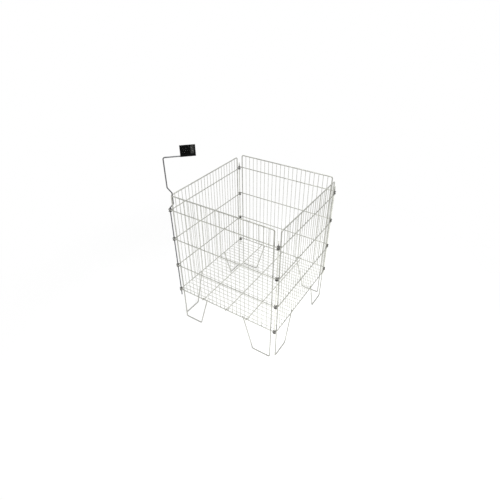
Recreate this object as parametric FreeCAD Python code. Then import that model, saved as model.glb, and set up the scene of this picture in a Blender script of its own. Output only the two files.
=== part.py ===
import FreeCAD, Part
import math
import os

# A square dump bin of four welded wire panels. The panels are linked at the corners by
# upright rods, and a hooked wire grid makes the base. The rod of one corner goes on
# upwards as a sign arm. Millimetres, +Z up, origin on the floor at the bin's centre.

# ---- driving dimensions: wires ------------------------------------------------------
FRAME_WIRE = 6.0            # diameter of the wire bent into a panel's frame
CROSS_WIRE = 5.0            # diameter of the level wires that end in eyes
UPRIGHT_WIRE = 3.0          # diameter of the thin upright wires
ROD_WIRE = 6.0              # diameter of the corner rods and of the sign rod
BEARER_WIRE = 5.0           # diameter of the base grid's hooked wires
GRID_WIRE = 3.0             # diameter of the base grid's thin wires

# ---- driving dimensions: panels -----------------------------------------------------
PITCH = 25.4                # from one upright to the next
GAPS = 22                   # gaps between the two end verticals of a panel
CORNER_INSET = 20.6         # from a rod's axis to the nearest end vertical
BOTTOM_HEIGHT = 206.0       # height of the front and rear panels' bottom wires
LEVEL_STEP = 168.0          # from one cross wire to the next
LEVELS = 4                  # cross wires in a panel
RIM_RISE = 77.0             # from the top cross wire to the rim
FRAME_BEND = 10.0           # bend radius of a frame wire, on its centreline
FOOT_LENGTH = 105.0         # length of a leg loop along the floor
SLANT_GAP_NUMBER = 7        # the gap, counted from the end vertical, that a slant ends in
SLANT_OVERRUN = 4.0         # how far the slanted wire runs past the bottom wire
UPRIGHT_OVERRUN = 1.5       # how far an upright runs below the bottom wire

# ---- driving dimensions: rods and eyes ----------------------------------------------
EYE_CLEARANCE = 0.6         # between a rod and the inside of an eye
EYE_END_GAP = 0.2           # between an eye's cut end and the straight of its wire
PANEL_STEP = 10.6           # side panels' wires sit this much below the front and rear ones
ROD_TAIL = 46.0             # how far a rod runs below the front bottom wire's axis
ROD_HEAD = 30.0             # how far a straight rod runs above the top wire's axis
EAR_WIDTH = 9.6             # across the pinched ears
EAR_THICKNESS = 3.0         # through the pinched ears
EAR_HEIGHT = 6.0            # along the rod
NECK_RELIEF = 0.3           # how much the press takes off the rod's radius at the ears
SEAT_GAP = 0.3              # between a resting piece and what it rests on
ROD_CHAMFER = 0.8           # at the ends of the rods

# ---- driving dimensions: base grid --------------------------------------------------
HOOK_CLEARANCE = 0.4        # between a hook and the bottom wire inside it
HOOK_TAIL = 4.0             # straight end of a hook, outside the panel
BEARER_GAP_NUMBERS = (6, 12, 17)    # the gaps, counted from the left, that bearers hook in
GRID_SIDE_GAP = 3.6         # between a thin wire's end and the side frames

# ---- driving dimensions: sign rod ---------------------------------------------------
SIGN_BEND = 9.0             # bend radius of the sign rod, on its centreline
JOG_OFFSET = 18.8           # how far the jog stands in from the rod's axis
JOG_RISE = 20.0             # height of the jog's lower slant
JOG_CLEAR_RIM = 8.0         # from the rim's axis to the jog's upper corner
JOG_RETURN = 29.0           # height of the jog's upper slant
MAST_HEIGHT = 147.0         # from the jog's top corner to the bar's axis
BAR_LENGTH = 147.0          # from the mast's axis to the bar's end

# ---- driving dimensions: ticket holder ----------------------------------------------
HOLDER_WIDTH = 70.0         # along the bar
HOLDER_HEIGHT = 49.0        # from the bar's axis to the top edge
HOLDER_DEPTH = 7.0          # front to back
HOLDER_BORDER = 4.5         # face border left, right and below the window
HOLDER_RAIL = 3.0           # plastic beside and below the pocket
HOLDER_BACK = 2.4           # thickness of the back plate
CLIP_CLEARANCE = 0.15       # between the clip and the bar
CLIP_WALL = 1.8             # thickness of the clip's jaws
CLIP_OPENING = 110.0        # degrees left open under the bar
WINDOW_THICKNESS = 1.0
TICKET_THICKNESS = 0.5
SHEET_CLEARANCE = 0.2       # round the window and the ticket in their pocket
HOLDER_ROUND = 1.0          # radius of the holder's upright outer corners

# ---- derived sizes ------------------------------------------------------------------
frame_r = FRAME_WIRE / 2
cross_r = CROSS_WIRE / 2
upright_r = UPRIGHT_WIRE / 2
rod_r = ROD_WIRE / 2
bearer_r = BEARER_WIRE / 2
grid_r = GRID_WIRE / 2

half_frame = GAPS * PITCH / 2                       # panel centre to an end vertical
rod_at = half_frame + CORNER_INSET                  # panel centre to a rod's axis
eye_r = rod_r + EYE_CLEARANCE + cross_r             # centreline radius of an eye
eye_reach = (eye_r - cross_r - EYE_END_GAP) / (eye_r + cross_r)
eye_turn = 270 + math.degrees(math.asin(eye_reach))  # degrees round the rod
cross_y = -(rod_at + eye_r)                         # front panel's cross wires
frame_y = cross_y + cross_r + frame_r               # frame wire, welded inside them
upright_y = cross_y + cross_r + upright_r           # uprights, welded inside them
top_wire = BOTTOM_HEIGHT + (LEVELS - 1) * LEVEL_STEP
rim_height = top_wire + RIM_RISE
eye_top = top_wire + cross_r                        # top of the highest eye
rod_foot = BOTTOM_HEIGHT - ROD_TAIL

UP = FreeCAD.Vector(0, 0, 1)
CENTRE = FreeCAD.Vector(0, 0, 0)


# ---- wire helpers -------------------------------------------------------------------
def bent_path(corners, bend):
    """Lines through the corners, with an arc of the bend radius at each inner corner."""
    edges = []
    start = corners[0]
    for before, corner, after in zip(corners, corners[1:], corners[2:]):
        back = (before - corner).normalize()
        ahead = (after - corner).normalize()
        half_angle = back.getAngle(ahead) / 2
        reach = bend / math.tan(half_angle)
        middle = (back + ahead).normalize()
        arc_start = corner + back * reach
        arc_end = corner + ahead * reach
        arc_middle = corner + middle * (bend / math.sin(half_angle) - bend)
        edges.append(Part.LineSegment(start, arc_start).toShape())
        edges.append(Part.Arc(arc_start, arc_middle, arc_end).toShape())
        start = arc_end
    edges.append(Part.LineSegment(start, corners[-1]).toShape())
    return edges


def drawn_wire(edges, radius):
    """A round wire swept along the edges."""
    path = Part.Wire(edges)
    first = edges[0]
    start = first.valueAt(first.FirstParameter)
    heading = first.tangentAt(first.FirstParameter)
    outline = Part.Wire([Part.Circle(start, heading, radius).toShape()])
    return path.makePipeShell([outline], True, True)


def round_bar(start, end, radius):
    """A straight round wire from one point to another."""
    run = end - start
    return Part.makeCylinder(radius, run.Length, start, run)


def turned(shape, quarter):
    """A copy turned about the bin's centre by a number of right angles."""
    copy = shape.copy()
    copy.rotate(CENTRE, UP, 90 * quarter)
    return copy


def moved_up(shape, rise):
    """A copy moved along Z."""
    copy = shape.copy()
    copy.translate(UP * rise)
    return copy


def save(name, solids):
    """Writes one node, a single solid or a group of separate ones."""
    shape = solids[0] if len(solids) == 1 else Part.makeCompound(solids)
    shape.exportStep("parts/" + name + ".step")


# ---- panel pieces, made for the front and turned for the others ---------------------
def eye_point(side, degrees):
    """A point on an eye's centreline, counted from where the straight wire ends."""
    turn = math.radians(degrees)
    across = side * (rod_at + eye_r * math.sin(turn))
    return FreeCAD.Vector(across, -rod_at - eye_r * math.cos(turn), 0)


def cross_wire():
    """A level wire with an eye at each end, at height 0."""
    left = Part.Arc(eye_point(-1, eye_turn), eye_point(-1, eye_turn / 2), eye_point(-1, 0))
    straight = Part.LineSegment(eye_point(-1, 0), eye_point(1, 0))
    right = Part.Arc(eye_point(1, 0), eye_point(1, eye_turn / 2), eye_point(1, eye_turn))
    return drawn_wire([left.toShape(), straight.toShape(), right.toShape()], cross_r)


def gap_middle(number):
    """From an end vertical to the middle of a numbered gap between uprights."""
    return (number - 0.5) * PITCH


def frame_wire(drop):
    """Rim, end verticals and both leg loops, bent from one wire."""
    rim = rim_height - drop
    slant_top = BOTTOM_HEIGHT - drop + SLANT_OVERRUN
    slant_in = half_frame - gap_middle(SLANT_GAP_NUMBER)
    foot_in = half_frame - FOOT_LENGTH
    outline = [
        (-slant_in, slant_top),
        (-foot_in, frame_r),
        (-half_frame, frame_r),
        (-half_frame, rim),
        (half_frame, rim),
        (half_frame, frame_r),
        (foot_in, frame_r),
        (slant_in, slant_top),
    ]
    corners = [FreeCAD.Vector(x, frame_y, z) for x, z in outline]
    return drawn_wire(bent_path(corners, FRAME_BEND), frame_r)


def uprights(drop):
    """The thin wires between the end verticals, from the bottom wire to the rim."""
    low = BOTTOM_HEIGHT - drop - cross_r - UPRIGHT_OVERRUN
    high = rim_height - drop - frame_r
    wires = []
    for gap in range(1, GAPS):
        x = -half_frame + gap * PITCH
        foot = FreeCAD.Vector(x, upright_y, low)
        head = FreeCAD.Vector(x, upright_y, high)
        wires.append(round_bar(foot, head, upright_r))
    return wires


def make_panel(name, quarter, drop, level_wire):
    """One panel: its frame, its cross wires and its uprights."""
    save(name + "_frame", [turned(frame_wire(drop), quarter)])
    for level, place in enumerate(("bottom", "lower", "upper", "top")):
        height = BOTTOM_HEIGHT - drop + level * LEVEL_STEP
        wire = turned(moved_up(level_wire, height), quarter)
        save(name + "_" + place + "_wire", [wire])
    save(name + "_uprights", [turned(wire, quarter) for wire in uprights(drop)])


# ---- corner rods --------------------------------------------------------------------
def corner_rod(x, y):
    """A straight rod, pinched flat above the highest eye so that its ears rest there."""
    foot = FreeCAD.Vector(0, 0, rod_foot)
    head = FreeCAD.Vector(0, 0, top_wire + ROD_HEAD)
    rod = round_bar(foot, head, rod_r)
    rod = rod.makeChamfer(ROD_CHAMFER, end_edges(rod))
    ear_low = eye_top + SEAT_GAP
    neck_low = FreeCAD.Vector(0, 0, ear_low)
    neck_high = FreeCAD.Vector(0, 0, ear_low + EAR_HEIGHT)
    relief = round_bar(neck_low, neck_high, EAR_WIDTH)
    rod = rod.cut(relief.cut(round_bar(neck_low, neck_high, rod_r - NECK_RELIEF)))
    pinch = rod_r - EAR_THICKNESS / 2
    press_r = ((EAR_HEIGHT / 2) ** 2 + pinch ** 2) / (2 * pinch)
    along = FreeCAD.Vector(1, 0, 0)
    for side in (-1, 1):
        axis_y = side * (EAR_THICKNESS / 2 + press_r)
        start = FreeCAD.Vector(-EAR_WIDTH, axis_y, ear_low + EAR_HEIGHT / 2)
        rod = rod.cut(Part.makeCylinder(press_r, 2 * EAR_WIDTH, start, along))
    corner = FreeCAD.Vector(-EAR_WIDTH / 2, -EAR_THICKNESS / 2, ear_low)
    ears = Part.makeBox(EAR_WIDTH, EAR_THICKNESS, EAR_HEIGHT, corner)
    rod = rod.fuse(ears.makeFillet(EAR_THICKNESS / 3, ears.Edges))
    rod.rotate(CENTRE, UP, math.degrees(math.atan2(-x, y)))
    rod.translate(FreeCAD.Vector(x, y, 0))
    return rod


def end_edges(rod):
    """The circles at both ends of a round bar."""
    return [edge for edge in rod.Edges if edge.isClosed()]


# ---- base grid ----------------------------------------------------------------------
hook_r = cross_r + HOOK_CLEARANCE + bearer_r        # centreline radius of a hook
bearer_height = BOTTOM_HEIGHT - hook_r
grid_height = bearer_height - bearer_r - grid_r
grid_half = -frame_y - frame_r - GRID_SIDE_GAP      # half length of a thin wire


def hook_edges(x, side):
    """From the bearer's straight up over the bottom wire and down outside it."""
    wire_y = side * -cross_y
    inner_y = wire_y - side * hook_r
    outer_y = wire_y + side * hook_r
    bend_y = inner_y - side * hook_r
    slope = hook_r * math.sqrt(0.5)

    def at(y, z):
        return FreeCAD.Vector(x, y, BOTTOM_HEIGHT + z)

    rise = Part.Arc(at(bend_y, -hook_r), at(bend_y + side * slope, -slope), at(inner_y, 0))
    over = Part.Arc(at(inner_y, 0), at(wire_y, hook_r), at(outer_y, 0))
    tail = Part.LineSegment(at(outer_y, 0), at(outer_y, -HOOK_TAIL))
    return [rise, over, tail], at(bend_y, -hook_r)


def base_bearer(gap_number):
    """A stiff wire from front to rear that hooks over both bottom wires."""
    x = -half_frame + gap_middle(gap_number)
    front, front_end = hook_edges(x, -1)
    rear, rear_end = hook_edges(x, 1)
    for curve in front:
        curve.reverse()
    front.reverse()
    curves = front + [Part.LineSegment(front_end, rear_end)] + rear
    return drawn_wire([curve.toShape() for curve in curves], bearer_r)


def grid_wires():
    """The thin wires welded under the bearers."""
    wires = []
    for gap in range(GAPS + 1):
        y = -half_frame + gap * PITCH
        left = FreeCAD.Vector(-grid_half, y, grid_height)
        right = FreeCAD.Vector(grid_half, y, grid_height)
        wires.append(round_bar(left, right, grid_r))
    return wires


# ---- sign rod and ticket holder, made along +X and turned onto the diagonal ---------
bend_reach = SIGN_BEND * math.tan(math.atan2(JOG_OFFSET, JOG_RISE) / 2)
jog_low = eye_top + SEAT_GAP + bend_reach
jog_high = rim_height + JOG_CLEAR_RIM
mast_low = jog_high + JOG_RETURN
bar_height = mast_low + MAST_HEIGHT


def onto_corner(shape):
    """Turns a shape made along +X round the Z axis onto the front left rod."""
    copy = shape.copy()
    copy.rotate(CENTRE, UP, 45)
    copy.translate(FreeCAD.Vector(-rod_at, -rod_at, 0))
    return copy


def sign_rod():
    """Corner rod, jog, mast and bar, bent from one wire."""
    outline = [
        (0, rod_foot),
        (0, jog_low),
        (JOG_OFFSET, jog_low + JOG_RISE),
        (JOG_OFFSET, jog_high),
        (0, mast_low),
        (0, bar_height),
        (BAR_LENGTH, bar_height),
    ]
    corners = [FreeCAD.Vector(x, 0, z) for x, z in outline]
    rod = drawn_wire(bent_path(corners, SIGN_BEND), rod_r)
    ends = [edge for edge in rod.Edges if edge.isClosed() and is_end(edge)]
    return rod.makeChamfer(ROD_CHAMFER, ends)


def is_end(edge):
    """True for the circle at the rod's foot or at the bar's end."""
    middle = edge.BoundBox.Center
    at_foot = abs(middle.z - rod_foot) < ROD_CHAMFER
    at_bar_end = abs(middle.x - BAR_LENGTH) < ROD_CHAMFER
    return at_foot or at_bar_end


holder_start = BAR_LENGTH - HOLDER_WIDTH            # the holder ends flush with the bar
clip_in = rod_r + CLIP_CLEARANCE
clip_out = clip_in + CLIP_WALL
holder_low = clip_in + CLIP_WALL / 2                # underside of the block, over the bar
pocket_low = holder_low + HOLDER_RAIL
pocket_back = -HOLDER_DEPTH / 2 + HOLDER_BACK
ticket_space = TICKET_THICKNESS + 2 * SHEET_CLEARANCE
window_space = WINDOW_THICKNESS + SHEET_CLEARANCE
pocket_front = pocket_back + ticket_space + window_space


def block(x_low, x_high, back, front, low, high):
    """A box over the bar. Back to front runs towards -Y, heights are above the bar."""
    size = (x_high - x_low, front - back, high - low)
    return Part.makeBox(*size, FreeCAD.Vector(x_low, -front, bar_height + low))


def holder_clip():
    """A snap clip round the bar, as long as the holder and open underneath."""
    start = FreeCAD.Vector(holder_start, 0, bar_height)
    along = FreeCAD.Vector(1, 0, 0)
    ring = Part.makeCylinder(clip_out, HOLDER_WIDTH, start, along)
    ring = ring.cut(Part.makeCylinder(clip_in, HOLDER_WIDTH, start, along))
    reach = 2 * clip_out
    spread = reach * math.tan(math.radians(CLIP_OPENING / 2))
    corners = [
        start,
        FreeCAD.Vector(holder_start, -spread, bar_height - reach),
        FreeCAD.Vector(holder_start, spread, bar_height - reach),
        start,
    ]
    mouth = Part.Face(Part.makePolygon(corners))
    return ring.cut(mouth.extrude(along * HOLDER_WIDTH))


def holder_body():
    """The moulded holder: back plate, rails, face border and clip."""
    end = holder_start + HOLDER_WIDTH
    half = HOLDER_DEPTH / 2
    body = block(holder_start, end, -half, half, holder_low, HOLDER_HEIGHT)
    upright = [edge for edge in body.Edges if edge.tangentAt(0).isEqual(UP, 0.01)
               or edge.tangentAt(0).isEqual(-UP, 0.01)]
    body = body.makeFillet(HOLDER_ROUND, upright)
    pocket = block(holder_start + HOLDER_RAIL, end - HOLDER_RAIL, pocket_back, pocket_front,
                   pocket_low, HOLDER_HEIGHT + HOLDER_RAIL)
    face = block(holder_start + HOLDER_BORDER, end - HOLDER_BORDER, pocket_back, HOLDER_DEPTH,
                 holder_low + HOLDER_BORDER, HOLDER_HEIGHT + HOLDER_RAIL)
    body = body.cut(pocket).cut(face)
    return body.fuse(holder_clip()).removeSplitter()


def pocket_sheet(back, thickness):
    """A sheet that stands in the holder's pocket."""
    left = holder_start + HOLDER_RAIL + SHEET_CLEARANCE
    right = holder_start + HOLDER_WIDTH - HOLDER_RAIL - SHEET_CLEARANCE
    low = pocket_low + SHEET_CLEARANCE
    return block(left, right, back, back + thickness, low, HOLDER_HEIGHT - SHEET_CLEARANCE)


# ---- the nodes ----------------------------------------------------------------------
os.makedirs("parts", exist_ok=True)

one_cross_wire = cross_wire()
make_panel("front", 0, 0, one_cross_wire)
make_panel("right", 1, PANEL_STEP, one_cross_wire)
make_panel("rear", 2, 0, one_cross_wire)
make_panel("left", 3, PANEL_STEP, one_cross_wire)

save("corner_rod_front_right", [corner_rod(rod_at, -rod_at)])
save("corner_rod_rear_right", [corner_rod(rod_at, rod_at)])
save("corner_rod_rear_left", [corner_rod(-rod_at, rod_at)])

for bearer_name, gap_number in zip(("left", "middle", "right"), BEARER_GAP_NUMBERS):
    save("base_bearer_" + bearer_name, [base_bearer(gap_number)])
save("base_grid_wires", grid_wires())

save("sign_rod", [onto_corner(sign_rod())])
save("ticket_holder", [onto_corner(holder_body())])
ticket_back = pocket_back + SHEET_CLEARANCE
window_back = pocket_back + ticket_space
save("ticket", [onto_corner(pocket_sheet(ticket_back, TICKET_THICKNESS))])
save("ticket_window", [onto_corner(pocket_sheet(window_back, WINDOW_THICKNESS))])
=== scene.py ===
from math import asin, atan2, cos, pi, radians, sin, sqrt, tan

import bmesh
import bpy
from mathutils import Matrix, Vector


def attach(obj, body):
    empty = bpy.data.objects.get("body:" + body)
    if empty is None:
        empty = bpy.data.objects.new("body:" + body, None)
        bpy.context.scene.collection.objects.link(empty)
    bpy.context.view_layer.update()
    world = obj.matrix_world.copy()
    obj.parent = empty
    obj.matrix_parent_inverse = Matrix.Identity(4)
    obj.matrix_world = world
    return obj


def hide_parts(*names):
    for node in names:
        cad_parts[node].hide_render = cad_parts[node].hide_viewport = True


# A square wire dump bin, put together in the order it is made: four welded panels, the
# corner rods that link them, the hooked base grid, and the sign rod with its ticket
# holder. Metres, +Z up, the origin on the floor at the bin's centre.
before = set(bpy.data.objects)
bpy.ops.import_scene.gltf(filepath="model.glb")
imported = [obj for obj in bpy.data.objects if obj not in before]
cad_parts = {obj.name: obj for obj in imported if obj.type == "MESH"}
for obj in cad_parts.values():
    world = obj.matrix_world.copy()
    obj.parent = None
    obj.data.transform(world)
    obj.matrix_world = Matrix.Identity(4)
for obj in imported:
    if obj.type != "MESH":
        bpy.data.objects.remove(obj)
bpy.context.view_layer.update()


# ---- panel frames -------------------------------------------------------------------
# The rim, the two end verticals and both leg loops of a panel, bent from one length of
# 6 mm drawn steel wire on 10 mm formers. The whole panel is zinc plated after it is
# welded, bright with a faint straw tint, and the loops are dulled where they stand.
FRAME_RADIUS = 0.003
FRAME_BEND = 0.010
HALF_FRAME = 0.2794
FRAME_PLANE = 0.3006
RIM_HEIGHT = 0.787
SLANT_TOP = 0.210
SLANT_IN = 0.1143
FOOT_IN = 0.1744
PANEL_STEP = 0.0106         # how far the side panels' wires sit below the others'
PANELS = (("front", 0.0), ("right", PANEL_STEP), ("rear", 0.0), ("left", PANEL_STEP))
QUARTER = pi / 2
SHARP = radians(38)         # the least turn between two faces that shows as an edge
UP = Vector((0, 0, 1))
LINE_GRAIN = (7, 7, 30)     # of the drawing lines, per radius across and metre along
CLOUD_GRAIN = 38.0
PIT_GRAIN = 2400.0
SCUFF_HEIGHT = (0.001, 0.012)
SCUFFED = (0.23, 0.225, 0.215)
RUBBED = (0.15, 0.146, 0.14)
PLATE_RELIEF = 0.00006


class Wire:
    """A round wire, drawn on from its first cut end by straights and bends."""

    CUT = 0.16              # how much a cropped end is rounded off, in wire radii
    BEND_STEP = radians(7.5)

    def __init__(self, mesh, start, heading, radius, sides=24):
        self.mesh = mesh
        self.tip = Vector(start)
        self.heading = Vector(heading).normalized()
        self.radius = radius
        self.length = 0.0
        self.drawn = mesh.verts.layers.float_vector.get("drawn")
        if self.drawn is None:
            self.drawn = mesh.verts.layers.float_vector.new("drawn")
        into = self.own_axes()
        ring = bmesh.ops.create_circle(mesh, segments=sides, radius=radius,
                                       matrix=into.inverted())["verts"]
        for vert in ring:
            spoke = (into @ vert.co) / radius
            vert[self.drawn] = (spoke.x, spoke.y, 0)
        self.edges = list({edge for vert in ring for edge in vert.link_edges})
        self.scale_rim(1 - self.CUT)
        bmesh.ops.contextual_create(mesh, geom=self.edges)
        self.straight(radius * self.CUT)
        self.scale_rim(1 / (1 - self.CUT))

    def own_axes(self):
        """From the bin's axes to the wire's own, at its tip with Z along it."""
        turn = self.heading.to_track_quat("Z", "Y").to_matrix().to_4x4()
        return (Matrix.Translation(self.tip) @ turn).inverted()

    def rim(self):
        return list({vert for edge in self.edges for vert in edge.verts})

    def scale_rim(self, across, deep=None):
        size = (across, across if deep is None else deep, 1)
        bmesh.ops.scale(self.mesh, verts=self.rim(), vec=size, space=self.own_axes())

    def take_rim(self, made, travel):
        """Finds the wire's new end in what an operator made."""
        verts = {item for item in made if isinstance(item, bmesh.types.BMVert)}
        self.edges = [item for item in made if isinstance(item, bmesh.types.BMEdge)
                      and item.verts[0] in verts and item.verts[1] in verts]
        self.length += travel
        for vert in verts:
            vert[self.drawn].z = self.length

    def straight(self, run):
        made = bmesh.ops.extrude_edge_only(self.mesh, edges=self.edges)["geom"]
        self.take_rim(made, run)
        bmesh.ops.translate(self.mesh, verts=self.rim(), vec=self.heading * run)
        self.tip = self.tip + self.heading * run

    def bend(self, centre, axis, angle):
        centre = Vector(centre)
        steps = max(2, round(angle / self.BEND_STEP))
        step = angle / steps
        travel = (self.tip - centre).length * step
        turn = Matrix.Rotation(step, 3, axis)
        for _ in range(steps):
            made = bmesh.ops.spin(self.mesh, geom=self.rim() + self.edges, cent=centre,
                                  axis=axis, angle=step, steps=1)
            self.take_rim(made["geom_last"], travel)
            self.heading = turn @ self.heading
            self.tip = centre + turn @ (self.tip - centre)

    def crop(self):
        self.straight(self.radius * self.CUT)
        self.scale_rim(1 - self.CUT)
        bmesh.ops.contextual_create(self.mesh, geom=self.edges)

    def follow(self, corners, former):
        """Runs through the corners, bent at each but the last, where it is cropped."""
        corners = [Vector(corner) for corner in corners]
        for corner, after in zip(corners, corners[1:]):
            ahead = (after - corner).normalized()
            angle = self.heading.angle(ahead)
            self.straight((corner - self.tip).length - former * tan(angle / 2))
            axis = self.heading.cross(ahead).normalized()
            self.bend(self.tip + axis.cross(self.heading) * former, axis, angle)
        self.straight((corners[-1] - self.tip).length - self.radius * self.CUT)
        self.crop()


class Value:
    """A number or colour in a finish: a node's socket that takes part in sums."""

    def __init__(self, finish, socket):
        self.finish = finish
        self.socket = socket

    def sum(self, operation, first, second):
        terms = {0: first, 1: second}
        return self.finish.node("ShaderNodeMath", {"operation": operation}, terms)

    def __add__(self, other):
        return self.sum("ADD", self, other)

    def __radd__(self, other):
        return self.sum("ADD", other, self)

    def __sub__(self, other):
        return self.sum("SUBTRACT", self, other)

    def __rsub__(self, other):
        return self.sum("SUBTRACT", other, self)

    def __mul__(self, other):
        return self.sum("MULTIPLY", self, other)

    def __rmul__(self, other):
        return self.sum("MULTIPLY", other, self)


class Finish:
    """A procedural material, grown a node at a time."""

    def __init__(self, name, **constants):
        self.material = bpy.data.materials.new(name)
        self.material.use_nodes = True
        self.tree = self.material.node_tree
        self.shader = self.tree.nodes["Principled BSDF"]
        for socket, value in constants.items():
            self.shader.inputs[socket.replace("_", " ")].default_value = value

    def node(self, kind, settings=None, sockets=None, out=0):
        made = self.tree.nodes.new(kind)
        for name, setting in (settings or {}).items():
            setattr(made, name, setting)
        for name, value in (sockets or {}).items():
            self.join(value, made.inputs[name])
        return Value(self, made.outputs[out])

    def join(self, value, socket):
        if isinstance(value, Value):
            self.tree.links.new(value.socket, socket)
        else:
            socket.default_value = value

    def place(self):
        return self.node("ShaderNodeTexCoord", out="Object")

    def stretched(self, vector, *factors):
        operation = {"operation": "MULTIPLY"}
        return self.node("ShaderNodeVectorMath", operation, {0: vector, 1: factors})

    def noise(self, vector, scale, detail=2.0, roughness=0.5):
        sockets = {"Vector": vector, "Scale": scale, "Detail": detail,
                   "Roughness": roughness}
        return self.node("ShaderNodeTexNoise", {"normalize": True}, sockets)

    def ramp(self, value, low, high, at_low=0.0, at_high=1.0):
        """Goes smoothly from one amount to another while the value goes low to high."""
        sockets = {"Value": value, "From Min": low, "From Max": high,
                   "To Min": at_low, "To Max": at_high}
        return self.node("ShaderNodeMapRange", {"interpolation_type": "SMOOTHSTEP"},
                         sockets)

    def blend(self, amount, first, second):
        """Two colours, mixed."""
        first = first if isinstance(first, Value) else (*first, 1)
        second = second if isinstance(second, Value) else (*second, 1)
        return self.node("ShaderNodeMix", {"data_type": "RGBA"},
                         {0: amount, 6: first, 7: second}, out=2)

    def relief(self, height, strength, distance):
        sockets = {"Height": height, "Strength": strength, "Distance": distance}
        return self.node("ShaderNodeBump", None, sockets)

    def wear(self, colour, roughness, normal):
        """Sets what changes over the surface."""
        self.join(colour, self.shader.inputs["Base Color"])
        self.join(roughness, self.shader.inputs["Roughness"])
        self.join(normal, self.shader.inputs["Normal"])
        return self.material


def plated_wire(name, bright, dull, polish, rubbed=None):
    """Zinc plate over drawn wire: faint lines along it, cloudy tone, fine pits.

    The function given as rubbed tells where the plate is rubbed or bruised dark.
    """
    finish = Finish(name, Metallic=1.0)
    drawn = finish.node("ShaderNodeAttribute", {"attribute_name": "drawn"},
                        out="Vector")
    lines = finish.noise(finish.stretched(drawn, *LINE_GRAIN), 1.0, 3.0, 0.6)
    clouds = finish.noise(finish.place(), CLOUD_GRAIN, 3.0, 0.55)
    pits = finish.noise(finish.place(), PIT_GRAIN, 1.0)
    height = finish.node("ShaderNodeSeparateXYZ", None, {0: finish.place()}, out="Z")
    near_floor = finish.ramp(height, *SCUFF_HEIGHT, 1.0, 0.0)
    scuffed = near_floor * finish.ramp(clouds, 0.3, 0.6)
    tone = (finish.ramp(clouds, 0.36, 0.64) * 0.65
            + finish.ramp(lines, 0.35, 0.65) * 0.35)
    colour = finish.blend(scuffed * 0.8, finish.blend(tone, dull, bright), SCUFFED)
    roughness = polish + (1 - tone) * 0.10 + lines * 0.06 + scuffed * 0.22
    if rubbed:
        grime = rubbed(finish, drawn) * (0.6 + tone * 0.4)
        colour = finish.blend(grime, colour, RUBBED)
        roughness = roughness + grime * 0.15
    relief = finish.relief(lines * 0.7 + pits * 0.3, 0.2, PLATE_RELIEF)
    return finish.wear(colour, roughness, relief)


def fitted(mesh, name, material, body, slot, *nodes):
    """Closes a piece: outward faces, smooth shading, finish and what it rides on."""
    bmesh.ops.recalc_face_normals(mesh, faces=mesh.faces)
    for face in mesh.faces:
        face.smooth = True
    for edge in mesh.edges:
        edge.smooth = edge.calc_face_angle(0) < SHARP
    data = bpy.data.meshes.new(name)
    mesh.to_mesh(data)
    mesh.free()
    data.materials.append(material)
    piece = bpy.data.objects.new(name, data)
    bpy.context.scene.collection.objects.link(piece)
    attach(piece, body)
    if nodes:
        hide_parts(*nodes)
    return piece


def faced(piece):
    """Keeps a piece's flat faces flat in the shading, up to their rounded edges."""
    weighted = piece.modifiers.new("flat_faces", "WEIGHTED_NORMAL")
    weighted.keep_sharp = True


def turned(mesh, quarter):
    """Turns a piece made at the front round to its own side of the bin."""
    turn = Matrix.Rotation(quarter * QUARTER, 3, "Z")
    bmesh.ops.rotate(mesh, verts=mesh.verts, cent=(0, 0, 0), matrix=turn)
    return mesh


frame_plate = plated_wire("frame_plate", bright=(0.485, 0.488, 0.446),
                          dull=(0.350, 0.352, 0.322), polish=0.18)

for quarter, (side, drop) in enumerate(PANELS):
    rim = RIM_HEIGHT - drop
    outline = [(-SLANT_IN, SLANT_TOP - drop), (-FOOT_IN, FRAME_RADIUS),
               (-HALF_FRAME, FRAME_RADIUS), (-HALF_FRAME, rim), (HALF_FRAME, rim),
               (HALF_FRAME, FRAME_RADIUS), (FOOT_IN, FRAME_RADIUS),
               (SLANT_IN, SLANT_TOP - drop)]
    corners = [Vector((x, -FRAME_PLANE, z)) for x, z in outline]
    mesh = bmesh.new()
    wire = Wire(mesh, corners[0], corners[1] - corners[0], FRAME_RADIUS)
    wire.follow(corners[1:], FRAME_BEND)
    fitted(turned(mesh, quarter), side + "_frame_wire", frame_plate, "panels",
           "frame_wire", side + "_frame")


# ---- cross wires --------------------------------------------------------------------
# Four level 5 mm wires to a panel, welded outside its frame. Each ends in an eye,
# rolled round a pin until its cut end meets the straight. The eyes of two panels stack
# on the corner rod between them, and the rods rub the plate in the eyes dull and dark.
CROSS_RADIUS = 0.0025
CROSS_PLANE = 0.3061
ROD_AT = 0.300
EYE_RADIUS = 0.0061
EYE_END_GAP = 0.0002
EYE_TURN = 3 * QUARTER + asin((EYE_RADIUS - CROSS_RADIUS - EYE_END_GAP)
                              / (EYE_RADIUS + CROSS_RADIUS))
RUB_FADE = 0.004            # the length over which a rub mark runs out
BOTTOM_HEIGHT = 0.206
LEVEL_STEP = 0.168
LEVELS = ("bottom", "lower", "upper", "top")


def eyes(finish, drawn):
    """One in the eyes at both ends of a cross wire."""
    along = finish.node("ShaderNodeSeparateXYZ", None, {0: drawn}, out="Z")
    straight = 2 * ROD_AT
    first_eye = EYE_RADIUS * EYE_TURN
    return (finish.ramp(along, first_eye, first_eye + RUB_FADE, 1.0, 0.0)
            + finish.ramp(along, first_eye + straight - RUB_FADE, first_eye + straight))


cross_plate = plated_wire("cross_plate", bright=(0.540, 0.543, 0.497),
                          dull=(0.395, 0.397, 0.363), polish=0.18, rubbed=eyes)

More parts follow.
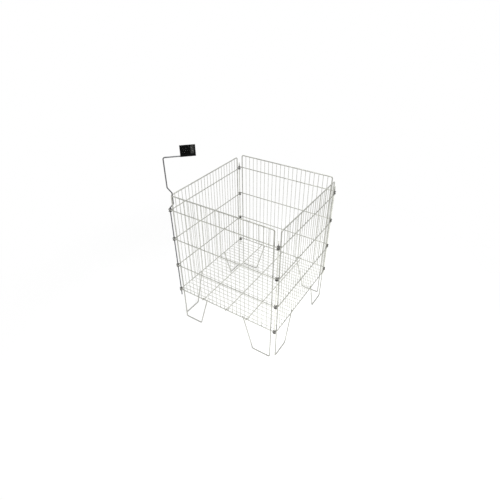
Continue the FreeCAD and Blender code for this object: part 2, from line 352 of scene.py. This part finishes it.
for quarter, (side, drop) in enumerate(PANELS):
    for level, place in enumerate(LEVELS):
        height = BOTTOM_HEIGHT + level * LEVEL_STEP - drop
        start = -QUARTER - EYE_TURN
        left_pin = Vector((-ROD_AT, -ROD_AT, height))
        right_pin = Vector((ROD_AT, -ROD_AT, height))
        heading = Vector((-sin(start), cos(start), 0))
        first = left_pin + EYE_RADIUS * Vector((cos(start), sin(start), 0))
        crop = CROSS_RADIUS * Wire.CUT
        mesh = bmesh.new()
        wire = Wire(mesh, first - heading * crop, heading, CROSS_RADIUS)
        wire.bend(left_pin, UP, EYE_TURN)
        wire.straight(2 * ROD_AT)
        wire.bend(right_pin, UP, EYE_TURN)
        wire.crop()
        name = side + "_" + place + "_wire"
        fitted(turned(mesh, quarter), side + "_" + place + "_cross_wire", cross_plate,
               "panels", "cross_wire", name)


# ---- uprights -----------------------------------------------------------------------
# Twenty-one thin 3 mm wires to a panel, cropped to length, welded an inch apart inside
# the cross wires, with their heads butted up under the rim.
UPRIGHT_RADIUS = 0.0015
UPRIGHT_PLANE = 0.3021
PITCH = 0.0254
GAPS = 22
UPRIGHT_PAST = 0.0015       # what stands out below the bottom cross wire
UPRIGHT_LOW = BOTTOM_HEIGHT - CROSS_RADIUS - UPRIGHT_PAST

upright_plate = plated_wire("upright_plate", bright=(0.590, 0.593, 0.543),
                            dull=(0.450, 0.452, 0.414), polish=0.18)

for quarter, (side, drop) in enumerate(PANELS):
    mesh = bmesh.new()
    for gap in range(1, GAPS):
        foot = Vector((gap * PITCH - HALF_FRAME, -UPRIGHT_PLANE, UPRIGHT_LOW - drop))
        head = Vector((foot.x, foot.y, RIM_HEIGHT - drop - FRAME_RADIUS))
        wire = Wire(mesh, foot, UP, UPRIGHT_RADIUS, sides=16)
        wire.follow([head], 0)
    fitted(turned(mesh, quarter), side + "_upright_wires", upright_plate, "panels",
           "upright_wire", side + "_uprights")


# ---- panel welds --------------------------------------------------------------------
# Where two wires cross, the welder presses them together until the steel between them
# yields. That leaves a low nugget that fills the hollow of the crossing, plated over
# with the rest and slightly rougher.
NUGGET_ACROSS = 0.0019
NUGGET_DEEP = 0.0011
FRAME_NUGGET = 0.0024
CROSS_CONTACT = CROSS_PLANE - CROSS_RADIUS
RIPPLE_GRAIN = 1300.0
TINT_GRAIN = 220.0
WELD_DULL = (0.17, 0.168, 0.165)
WELD_BRIGHT = (0.28, 0.282, 0.285)
WELD_RELIEF = 0.0002


def nugget(mesh, centre, across, deep, high):
    """A squashed bead of steel between two wires."""
    matrix = Matrix.Translation(centre) @ Matrix.Diagonal((across, deep, high, 1))
    bmesh.ops.create_uvsphere(mesh, u_segments=10, v_segments=6, radius=1,
                              matrix=matrix)


def weld_plate(name):
    """Plate over a weld: greyer than the wire and slightly rippled."""
    finish = Finish(name, Metallic=1.0)
    ripples = finish.noise(finish.place(), RIPPLE_GRAIN, 3.0, 0.6)
    tint = finish.noise(finish.place(), TINT_GRAIN)
    colour = finish.blend(finish.ramp(tint, 0.35, 0.65), WELD_DULL, WELD_BRIGHT)
    roughness = 0.30 + ripples * 0.15
    return finish.wear(colour, roughness, finish.relief(ripples, 0.5, WELD_RELIEF))


panel_weld_plate = weld_plate("panel_weld_plate")

for quarter, (side, drop) in enumerate(PANELS):
    mesh = bmesh.new()
    rim_underside = RIM_HEIGHT - drop - FRAME_RADIUS
    for level in range(len(LEVELS)):
        height = BOTTOM_HEIGHT + level * LEVEL_STEP - drop
        for gap in range(GAPS + 1):
            at_end = gap in (0, GAPS)
            across = FRAME_NUGGET if at_end else NUGGET_ACROSS
            x = gap * PITCH - HALF_FRAME
            nugget(mesh, (x, -CROSS_CONTACT, height), across, NUGGET_DEEP, across)
    for gap in range(1, GAPS):
        x = gap * PITCH - HALF_FRAME
        nugget(mesh, (x, -UPRIGHT_PLANE, rim_underside), NUGGET_ACROSS, NUGGET_ACROSS,
               NUGGET_DEEP)
    slope = (SLANT_IN - FOOT_IN) / (SLANT_TOP - drop - FRAME_RADIUS)
    slant_x = SLANT_IN + slope * (BOTTOM_HEIGHT - SLANT_TOP)
    for x in (-slant_x, slant_x):
        nugget(mesh, (x, -CROSS_CONTACT, BOTTOM_HEIGHT - drop), FRAME_NUGGET,
               NUGGET_DEEP, FRAME_NUGGET)
    fitted(turned(mesh, quarter), side + "_welds", panel_weld_plate, "panels",
           "cross_wire")


# ---- corner rods --------------------------------------------------------------------
# Straight 6 mm rods dropped through the stacked eyes at three corners. Each is pinched
# flat above the highest eye, and the ears that the press squeezes out rest on it. The
# rods are rubbed dark where the eyes turn on them, and bruised dark round the ears.
ROD_RADIUS = 0.003
ROD_FOOT = 0.160
ROD_TOP = 0.740
EAR_LOW = 0.7128
EAR_HEIGHT = 0.006
BRUISE_REACH = 0.022        # how far above the ears' foot the dulled plate runs out
# share of the ears' height, then half widths across and through the rod in rod radii
PINCH = ((0.0, 1.0, 1.0), (0.12, 1.18, 0.86), (0.3, 1.48, 0.62), (0.5, 1.6, 0.5),
         (0.7, 1.48, 0.62), (0.88, 1.18, 0.86), (1.0, 1.0, 1.0))


def stacks(finish, drawn):
    """One where a corner rod carries the stacked eyes."""
    along = finish.node("ShaderNodeSeparateXYZ", None, {0: drawn}, out="Z")
    first = BOTTOM_HEIGHT - PANEL_STEP / 2 - ROD_FOOT
    apart = {"operation": "PINGPONG"}
    off = finish.node("ShaderNodeMath", apart, {0: along - first, 1: LEVEL_STEP / 2})
    half = PANEL_STEP / 2 + CROSS_RADIUS
    below_head = finish.ramp(along, EAR_LOW - ROD_FOOT, EAR_LOW - ROD_FOOT + RUB_FADE,
                             1.0, 0.0)
    return finish.ramp(off, half, half + RUB_FADE, 1.0, 0.0) * below_head


def stacks_and_ears(finish, drawn):
    """One in the stacked eyes and where the press has bruised the plate at the ears."""
    along = finish.node("ShaderNodeSeparateXYZ", None, {0: drawn}, out="Z")
    ears = EAR_LOW - ROD_FOOT
    bruised = (finish.ramp(along, ears - RUB_FADE, ears)
               * finish.ramp(along, ears + EAR_HEIGHT, ears + BRUISE_REACH, 1.0, 0.0))
    either = {"operation": "MAXIMUM"}
    return finish.node("ShaderNodeMath", either, {0: stacks(finish, drawn), 1: bruised})


rod_plate = plated_wire("rod_plate", bright=(0.740, 0.744, 0.684),
                        dull=(0.580, 0.583, 0.536), polish=0.16, rubbed=stacks_and_ears)

for name, x, y in (("front_right", 1, -1), ("rear_right", 1, 1), ("rear_left", -1, 1)):
    mesh = bmesh.new()
    wire = Wire(mesh, (0, 0, ROD_FOOT), UP, ROD_RADIUS, sides=28)
    was_across, was_through = 1.0, 1.0
    for share, across, through in PINCH:
        wire.straight(EAR_LOW + share * EAR_HEIGHT - wire.tip.z)
        wire.scale_rim(across / was_across, through / was_through)
        was_across, was_through = across, through
    wire.straight(ROD_TOP - ROD_RADIUS * Wire.CUT - wire.tip.z)
    wire.crop()
    turn = Matrix.Rotation(atan2(-x, y), 3, "Z")
    bmesh.ops.rotate(mesh, verts=mesh.verts, cent=(0, 0, 0), matrix=turn)
    bmesh.ops.translate(mesh, verts=mesh.verts, vec=(x * ROD_AT, y * ROD_AT, 0))
    fitted(mesh, "rod_" + name, rod_plate, "corner_rod_" + name, "rod_wire",
           "corner_rod_" + name)


# ---- base bearers -------------------------------------------------------------------
# Three stiff 5 mm wires from front to rear. Each end is bent up and over the bottom
# wire into a hook, so that the base hangs between the panels and swings up for folding.
BEARER_RADIUS = 0.0025
HOOK_CLEARANCE = 0.0004
HOOK_RADIUS = CROSS_RADIUS + HOOK_CLEARANCE + BEARER_RADIUS
HOOK_TAIL = 0.004
BEARERS = (("left", -0.1397), ("middle", 0.0127), ("right", 0.1397))

bearer_plate = plated_wire("bearer_plate", bright=(0.600, 0.603, 0.552),
                           dull=(0.450, 0.452, 0.414), polish=0.20)

for name, x in BEARERS:
    front_wire = Vector((x, -CROSS_PLANE, BOTTOM_HEIGHT))
    rear_wire = Vector((x, CROSS_PLANE, BOTTOM_HEIGHT))
    sideways = Vector((1, 0, 0))
    clear = Vector((0, 2 * HOOK_RADIUS, 0))
    mesh = bmesh.new()
    start = front_wire - Vector((0, HOOK_RADIUS, HOOK_TAIL))
    wire = Wire(mesh, start, UP, BEARER_RADIUS)
    wire.straight(BOTTOM_HEIGHT - wire.tip.z)
    wire.bend(front_wire, -sideways, 2 * QUARTER)
    wire.bend(front_wire + clear, sideways, QUARTER)
    wire.straight(2 * (CROSS_PLANE - clear.y))
    wire.bend(rear_wire - clear, sideways, QUARTER)
    wire.bend(rear_wire, -sideways, 2 * QUARTER)
    wire.straight(HOOK_TAIL - BEARER_RADIUS * Wire.CUT)
    wire.crop()
    fitted(mesh, "bearer_" + name, bearer_plate, "base_grid", "bearer_wire",
           "base_bearer_" + name)


# ---- base grid ----------------------------------------------------------------------
# Twenty-three thin 3 mm wires laid an inch apart under the bearers and welded to each,
# cropped just short of the side panels. They are plated after welding, like the panels.
GRID_RADIUS = 0.0015
GRID_HALF = 0.294
BEARER_HEIGHT = BOTTOM_HEIGHT - HOOK_RADIUS
GRID_HEIGHT = BEARER_HEIGHT - BEARER_RADIUS - GRID_RADIUS

grid_plate = plated_wire("grid_plate", bright=(0.665, 0.668, 0.612),
                         dull=(0.525, 0.528, 0.483), polish=0.20)
grid_weld_plate = weld_plate("grid_weld_plate")

mesh = bmesh.new()
welds = bmesh.new()
for gap in range(GAPS + 1):
    y = gap * PITCH - HALF_FRAME
    wire = Wire(mesh, (-GRID_HALF, y, GRID_HEIGHT), (1, 0, 0), GRID_RADIUS, sides=16)
    wire.follow([(GRID_HALF, y, GRID_HEIGHT)], 0)
    for _, x in BEARERS:
        nugget(welds, (x, y, GRID_HEIGHT + GRID_RADIUS), NUGGET_ACROSS, NUGGET_ACROSS,
               NUGGET_DEEP)
fitted(mesh, "base_wires", grid_plate, "base_grid", "grid_wire", "base_grid_wires")
fitted(welds, "base_welds", grid_weld_plate, "base_grid", "grid_wire")


# ---- sign rod -----------------------------------------------------------------------
# The fourth corner's rod, bent from one 6 mm wire: up through the eyes, a jog round the
# rim's corner, a mast, and a level bar for the ticket holder. The jog's lower bend
# rests on the highest eye, so the rod swivels and lifts out.
SIGN_BEND = 0.009
BAR_HEIGHT = 0.971
BAR_LENGTH = 0.147
JOG_IN = 0.0188
JOG_LOW = 0.71637
JOG_RISE = 0.020
JOG_HIGH = 0.795
MAST_LOW = 0.824


def onto_corner(mesh):
    """Turns a piece made along +X onto the front left corner, facing out."""
    turn = Matrix.Rotation(pi / 4, 3, "Z")
    bmesh.ops.rotate(mesh, verts=mesh.verts, cent=(0, 0, 0), matrix=turn)
    bmesh.ops.translate(mesh, verts=mesh.verts, vec=(-ROD_AT, -ROD_AT, 0))
    return mesh


# Painted shade: the sign rod has the corner rods' zinc plate, made far darker in colour
# to stand in for the dark reflection along its mast and bar.
sign_shaded_plate = plated_wire("sign_shaded_plate", bright=(0.18, 0.183, 0.186),
                         dull=(0.11, 0.112, 0.114), polish=0.15, rubbed=stacks)

mesh = bmesh.new()
wire = Wire(mesh, (0, 0, ROD_FOOT), UP, ROD_RADIUS, sides=28)
wire.follow([(0, 0, JOG_LOW), (JOG_IN, 0, JOG_LOW + JOG_RISE), (JOG_IN, 0, JOG_HIGH),
             (0, 0, MAST_LOW), (0, 0, BAR_HEIGHT), (BAR_LENGTH, 0, BAR_HEIGHT)],
            SIGN_BEND)
fitted(onto_corner(mesh), "sign_wire", sign_shaded_plate, "sign_rod", "rod_wire", "sign_rod")


# ---- ticket holder ------------------------------------------------------------------
# A frame of glossy black styrene, moulded in one piece: a back plate, a raised border
# on three sides with a lip that holds the sheets, open at the top, and a clip along its
# foot that snaps over the bar. Slight sink marks and fine rubs show in its gloss.
HOLDER_WIDTH = 0.070
HOLDER_TOP = 0.049
HOLDER_LOW = 0.00405
HOLDER_DEPTH = 0.007
HOLDER_BACK = 0.0024
HOLDER_RAIL = 0.003
HOLDER_BORDER = 0.0045
POCKET_DEPTH = 0.0021
HOLDER_ROUND = 0.0005
CLIP_IN = 0.00315
CLIP_WALL = 0.0018
CLIP_OPENING = radians(110)
CLIP_STEPS = 20
NEAR = 0.00001
STYRENE_BLACK = (0.0015, 0.0015, 0.0018)
STYRENE_DUSTY = (0.007, 0.007, 0.0075)
SINK_GRAIN = 55.0
RUB_GRAIN = 900.0
DUST_GRAIN = 260.0
STYRENE_RELIEF = 0.0004


def moulded_black(name):
    """Glossy black styrene: near black, with soft unevenness and fine rubs."""
    finish = Finish(name, Specular_IOR_Level=0.045)
    sink = finish.noise(finish.place(), SINK_GRAIN, 1.0)
    upright = finish.stretched(finish.place(), 1.0, 1.0, 0.12)
    rubs = finish.noise(upright, RUB_GRAIN, 3.0)
    dust = finish.ramp(finish.noise(finish.place(), DUST_GRAIN, 4.0, 0.7), 0.5, 0.75)
    colour = finish.blend(dust * 0.5, STYRENE_BLACK, STYRENE_DUSTY)
    roughness = 0.12 + finish.ramp(rubs, 0.45, 0.8) * 0.16 + dust * 0.08
    relief = finish.relief(sink * 0.9 + rubs * 0.1, 0.3, STYRENE_RELIEF)
    return finish.wear(colour, roughness, relief)


def block(mesh, low, high):
    """A block between two corners."""
    low, high = Vector(low), Vector(high)
    place = Matrix.Translation((low + high) / 2) @ Matrix.Diagonal((*(high - low), 1))
    bmesh.ops.create_cube(mesh, size=1, matrix=place)


def scored(mesh, point, normal):
    """Cuts a line right round the mesh, with nothing taken off."""
    geometry = mesh.verts[:] + mesh.edges[:] + mesh.faces[:]
    bmesh.ops.bisect_plane(mesh, geom=geometry, plane_co=point, plane_no=normal)


def pulled_out(mesh, faces):
    """Extrudes a region of faces, and gives its new faces and corners."""
    made = bmesh.ops.extrude_face_region(mesh, geom=faces)["geom"]
    bmesh.ops.delete(mesh, geom=faces, context="FACES_ONLY")
    faces = [item for item in made if isinstance(item, bmesh.types.BMFace)]
    verts = [item for item in made if isinstance(item, bmesh.types.BMVert)]
    return faces, verts


def rounded(mesh, radius):
    """Rounds every sharp edge."""
    bmesh.ops.recalc_face_normals(mesh, faces=mesh.faces)
    sharp = [edge for edge in mesh.edges if edge.calc_face_angle(0) > SHARP]
    bmesh.ops.bevel(mesh, geom=sharp, offset=radius, offset_type="OFFSET", segments=3,
                    profile=0.5, affect="EDGES", material=-1, clamp_overlap=True)


holder_left, holder_right = BAR_LENGTH - HOLDER_WIDTH, BAR_LENGTH
holder_low, holder_high = BAR_HEIGHT + HOLDER_LOW, BAR_HEIGHT + HOLDER_TOP
holder_rear, holder_face = HOLDER_DEPTH / 2, -HOLDER_DEPTH / 2
pocket_left, pocket_right = holder_left + HOLDER_RAIL, holder_right - HOLDER_RAIL
pocket_low = holder_low + HOLDER_RAIL
pocket_back = holder_rear - HOLDER_BACK
lip_back = pocket_back - POCKET_DEPTH
lip_reach = HOLDER_BORDER - HOLDER_RAIL

mesh = bmesh.new()
block(mesh, (holder_left, pocket_back, holder_low),
      (holder_right, holder_rear, holder_high))
scored(mesh, (pocket_left, 0, 0), (1, 0, 0))
scored(mesh, (pocket_right, 0, 0), (1, 0, 0))
scored(mesh, (0, 0, pocket_low), (0, 0, 1))
border = []
for face in mesh.faces:
    middle = face.calc_center_median()
    in_pocket = pocket_left < middle.x < pocket_right and middle.z > pocket_low
    if abs(middle.y - pocket_back) < NEAR and not in_pocket:
        border.append(face)
for depth in (lip_back - pocket_back, holder_face - lip_back):
    border, verts = pulled_out(mesh, border)
    bmesh.ops.translate(mesh, verts=verts, vec=(0, depth, 0))
lip_middle = (lip_back + holder_face) / 2
lip_faces = []
for face in mesh.faces:
    middle = face.calc_center_median()
    inside = (pocket_left - NEAR < middle.x < pocket_right + NEAR
              and pocket_low - NEAR < middle.z < holder_high - NEAR)
    if abs(middle.y - lip_middle) < NEAR and inside:
        lip_faces.append(face)
lip_faces, verts = pulled_out(mesh, lip_faces)
for vert in verts:
    if abs(vert.co.x - pocket_left) < NEAR:
        vert.co.x += lip_reach
    if abs(vert.co.x - pocket_right) < NEAR:
        vert.co.x -= lip_reach
    if abs(vert.co.z - pocket_low) < NEAR:
        vert.co.z += lip_reach
place = (Matrix.Translation(((holder_left + holder_right) / 2, 0, BAR_HEIGHT))
         @ Matrix.Rotation(pi + CLIP_OPENING / 2, 4, "X")
         @ Matrix.Translation((0, 0, CLIP_IN + CLIP_WALL / 2))
         @ Matrix.Rotation(QUARTER, 4, "X")
         @ Matrix.Diagonal((HOLDER_WIDTH, CLIP_WALL, 1, 1)))
jaw = bmesh.ops.create_grid(mesh, x_segments=1, y_segments=1, size=0.5,
                            matrix=place)["verts"]
section = jaw + list({edge for vert in jaw for edge in vert.link_edges})
section += list({face for vert in jaw for face in vert.link_faces})
bmesh.ops.spin(mesh, geom=section, cent=(0, 0, BAR_HEIGHT), axis=(1, 0, 0),
               angle=2 * pi - CLIP_OPENING, steps=CLIP_STEPS)
rounded(mesh, HOLDER_ROUND)
faced(fitted(onto_corner(mesh), "holder", moulded_black("holder_black"),
             "ticket_holder", "holder_black", "ticket_holder"))


# ---- ticket -------------------------------------------------------------------------
# A plain black card, with no printing, that stands in the holder's pocket behind the
# window and slides out upwards. Its dark grey end is a painted reflection: the window's
# sheen over that end, painted into the card's colour.
TICKET_THICKNESS = 0.0005
TICKET_ROUND = TICKET_THICKNESS / 5
SHEET_CLEARANCE = 0.0002
SHEEN_START = 0.124          # how far out along the bar the ticket's grey end begins
SHEEN_FADE = 0.0015
CARD_BLACK = (0.0006, 0.0006, 0.0006)
CARD_BLACK_WORN = (0.0018, 0.0018, 0.0018)
# Painted reflection: the grey end's colours stand in for the window's sheen over it.
CARD_PAINTED_SHEEN = (0.021, 0.0215, 0.020)
CARD_PAINTED_SHEEN_WORN = (0.032, 0.0325, 0.030)
FIBRE_GRAIN = 1600.0
HANDLING_GRAIN = 70.0
CARD_RELIEF = 0.00005

ticket_finish = Finish("ticket_card", Specular_IOR_Level=0.02)
fibres = ticket_finish.noise(ticket_finish.place(), FIBRE_GRAIN, 4.0, 0.65)
handling = ticket_finish.noise(ticket_finish.place(), HANDLING_GRAIN, 3.0)
black = ticket_finish.blend(ticket_finish.ramp(fibres, 0.3, 0.7), CARD_BLACK,
                            CARD_BLACK_WORN)
painted_sheen = ticket_finish.blend(ticket_finish.ramp(handling, 0.35, 0.65), CARD_PAINTED_SHEEN,
                           CARD_PAINTED_SHEEN_WORN)
ahead = ticket_finish.node("ShaderNodeVectorMath", {"operation": "DOT_PRODUCT"},
                           {0: ticket_finish.place(), 1: (sqrt(0.5), sqrt(0.5), 0)},
                           out="Value")
sheen_edge = SHEEN_START - ROD_AT * sqrt(2)
# Painted reflection: the card's far end is made grey for the window's sheen over it.
ticket_colour = ticket_finish.blend(
    ticket_finish.ramp(ahead, sheen_edge, sheen_edge + SHEEN_FADE), black, painted_sheen)
ticket_roughness = 0.52 + fibres * 0.12 - ticket_finish.ramp(handling, 0.5, 0.7) * 0.1
ticket_card = ticket_finish.wear(ticket_colour, ticket_roughness,
                                 ticket_finish.relief(fibres, 0.4, CARD_RELIEF))

sheet_left, sheet_right = pocket_left + SHEET_CLEARANCE, pocket_right - SHEET_CLEARANCE
sheet_low, sheet_high = pocket_low + SHEET_CLEARANCE, holder_high - SHEET_CLEARANCE
ticket_back = pocket_back - SHEET_CLEARANCE
mesh = bmesh.new()
block(mesh, (sheet_left, ticket_back - TICKET_THICKNESS, sheet_low),
      (sheet_right, ticket_back, sheet_high))
rounded(mesh, TICKET_ROUND)
faced(fitted(onto_corner(mesh), "ticket_card", ticket_card, "ticket", "ticket_black",
             "ticket"))


# ---- ticket window ------------------------------------------------------------------
# A sheet of clear acrylic, coated against glare and laser cut with polished edges, held
# in the pocket in front of the ticket by the border's lip. Wiping left hairlines on it.
WINDOW_THICKNESS = 0.001
WINDOW_ROUND = WINDOW_THICKNESS / 5
WINDOW_VEIL = 0.05          # the share of what is seen that comes from the sheet itself
WINDOW_CLEAN = (0.010, 0.010, 0.011)
WINDOW_SMEARED = (0.035, 0.036, 0.036)
HAIRLINE_GRAIN = 1400.0
SMEAR_GRAIN = 60.0
WINDOW_RELIEF = 0.0003

window_finish = Finish("window_acrylic", IOR=1.49, Specular_IOR_Level=0.1,
                       Alpha=WINDOW_VEIL)
wiped = window_finish.stretched(window_finish.place(), 1.0, 1.0, 0.08)
hairlines = window_finish.noise(wiped, HAIRLINE_GRAIN, 3.0, 0.6)
smears = window_finish.noise(window_finish.place(), SMEAR_GRAIN, 3.0, 0.6)
window_colour = window_finish.blend(smears, WINDOW_CLEAN, WINDOW_SMEARED)
window_roughness = (0.04 + window_finish.ramp(hairlines, 0.55, 0.8) * 0.10
                    + window_finish.ramp(smears, 0.45, 0.7) * 0.05)
window_acrylic = window_finish.wear(window_colour, window_roughness,
                                    window_finish.relief(smears, 0.08, WINDOW_RELIEF))

window_back = ticket_back - TICKET_THICKNESS - SHEET_CLEARANCE
mesh = bmesh.new()
block(mesh, (sheet_left, window_back - WINDOW_THICKNESS, sheet_low),
      (sheet_right, window_back, sheet_high))
rounded(mesh, WINDOW_ROUND)
faced(fitted(onto_corner(mesh), "window_sheet", window_acrylic, "ticket_holder",
             "window_clear", "ticket_window"))


# ---- studio -------------------------------------------------------------------------
# A white floor that runs out to a white surround, with a large soft lamp low at the
# right front and one above. Floor and surround are seen as white, and the floor keeps a
# soft shadow. The low lamp isn't mirrored: its glare would wash out the rims' bends.
FLOOR_RADIUS = 9.0
FLOOR_SIDES = 96
FLOOR_GLOW = 0.45           # how much of the floor under the bin is plain white
SHADOW_REACH = (0.5, 1.7)   # distances from the middle where that share starts and ends
TOOTH_GRAIN = 300.0
PAPER_DARK = (0.90, 0.90, 0.90)
PAPER_LIGHT = (0.92, 0.92, 0.92)
WHITE = (1, 1, 1, 1)
SURROUND_LIGHT = 0.55       # what lights the bin, where what is seen is full white
KEY_PLACE = (1.5, -0.7, 1.05)
KEY_AIM = (0.5, -0.5, 0.0)
KEY_SIZE = 1.7
KEY_POWER = 60
TOP_PLACE = (0.2, 0.4, 3.4)
TOP_AIM = (0, 0, 0.45)
TOP_SIZE = 2.4
TOP_POWER = 52


class Surround(Finish):
    """The nodes of the world round the scene."""

    def __init__(self, name):
        world = bpy.data.worlds.new(name)
        world.use_nodes = True
        bpy.context.scene.world = world
        self.tree = world.node_tree


def seen(finish):
    """One on rays from the camera, or off or through a glossy surface, else nothing."""
    camera = finish.node("ShaderNodeLightPath", out="Is Camera Ray")
    glossy = finish.node("ShaderNodeLightPath", out="Is Glossy Ray")
    through = finish.node("ShaderNodeLightPath", out="Is Transmission Ray")
    rays = {0: camera + glossy + through, 1: 1.0}
    return finish.node("ShaderNodeMath", {"operation": "MINIMUM"}, rays)


def lamp(name, place, aim, size, power):
    """A square soft box that faces a point."""
    light = bpy.data.lights.new(name, "AREA")
    light.shape = "SQUARE"
    light.size = size
    light.energy = power
    box = bpy.data.objects.new(name, light)
    turn = (Vector(aim) - Vector(place)).to_track_quat("-Z", "Y").to_matrix().to_4x4()
    box.matrix_world = Matrix.Translation(place) @ turn
    bpy.context.scene.collection.objects.link(box)
    return box


surround = Surround("white_surround")
light = surround.node("ShaderNodeBackground", None,
                      {"Color": WHITE, "Strength": SURROUND_LIGHT})
white = surround.node("ShaderNodeBackground", None, {"Color": WHITE, "Strength": 1.0})
both = surround.node("ShaderNodeMixShader", None,
                     {0: seen(surround), 1: light, 2: white})
surround.join(both, surround.tree.nodes["World Output"].inputs["Surface"])

floor_finish = Finish("floor_paper", Roughness=0.9)
tooth = floor_finish.noise(floor_finish.place(), TOOTH_GRAIN, 3.0)
paper = floor_finish.blend(tooth, PAPER_DARK, PAPER_LIGHT)
floor_finish.join(paper, floor_finish.shader.inputs["Base Color"])
glow = floor_finish.node("ShaderNodeEmission", None, {"Color": WHITE, "Strength": 1.0})
far = floor_finish.node("ShaderNodeVectorMath", {"operation": "LENGTH"},
                        {0: floor_finish.place()}, out="Value")
clean = floor_finish.ramp(far, *SHADOW_REACH, FLOOR_GLOW, 1.0)
lit = Value(floor_finish, floor_finish.shader.outputs["BSDF"])
both = floor_finish.node("ShaderNodeMixShader", None,
                         {0: seen(floor_finish) * clean, 1: lit, 2: glow})
floor_output = floor_finish.tree.nodes["Material Output"]
floor_finish.join(both, floor_output.inputs["Surface"])

mesh = bmesh.new()
bmesh.ops.create_circle(mesh, cap_ends=True, segments=FLOOR_SIDES, radius=FLOOR_RADIUS)
data = bpy.data.meshes.new("floor")
mesh.to_mesh(data)
mesh.free()
data.materials.append(floor_finish.material)
floor = bpy.data.objects.new("floor", data)
bpy.context.scene.collection.objects.link(floor)

lamp("key_lamp", KEY_PLACE, KEY_AIM, KEY_SIZE, KEY_POWER).visible_glossy = False
lamp("top_lamp", TOP_PLACE, TOP_AIM, TOP_SIZE, TOP_POWER)


# ---- camera -------------------------------------------------------------------------
# At standing height, a little right of the front, looking down into the bin with a
# moderately wide lens, so that the far side shows through the near one.
CAMERA_PLACE = (0.901, -1.453, 1.6154)
CAMERA_YAW = radians(32.75)
CAMERA_TILT = radians(54.62)
CAMERA_ROLL = radians(-0.2)
CAMERA_LENS = 27.41
CAMERA_SENSOR = 36.0

camera_data = bpy.data.cameras.new("camera")
camera_data.lens = CAMERA_LENS
camera_data.sensor_width = CAMERA_SENSOR
camera = bpy.data.objects.new("camera", camera_data)
camera.matrix_world = (Matrix.Translation(CAMERA_PLACE)
                       @ Matrix.Rotation(CAMERA_YAW, 4, "Z")
                       @ Matrix.Rotation(CAMERA_TILT, 4, "X")
                       @ Matrix.Rotation(CAMERA_ROLL, 4, "Z"))
bpy.context.scene.collection.objects.link(camera)
bpy.context.scene.camera = camera
bpy.context.scene.view_settings.view_transform = "Standard"
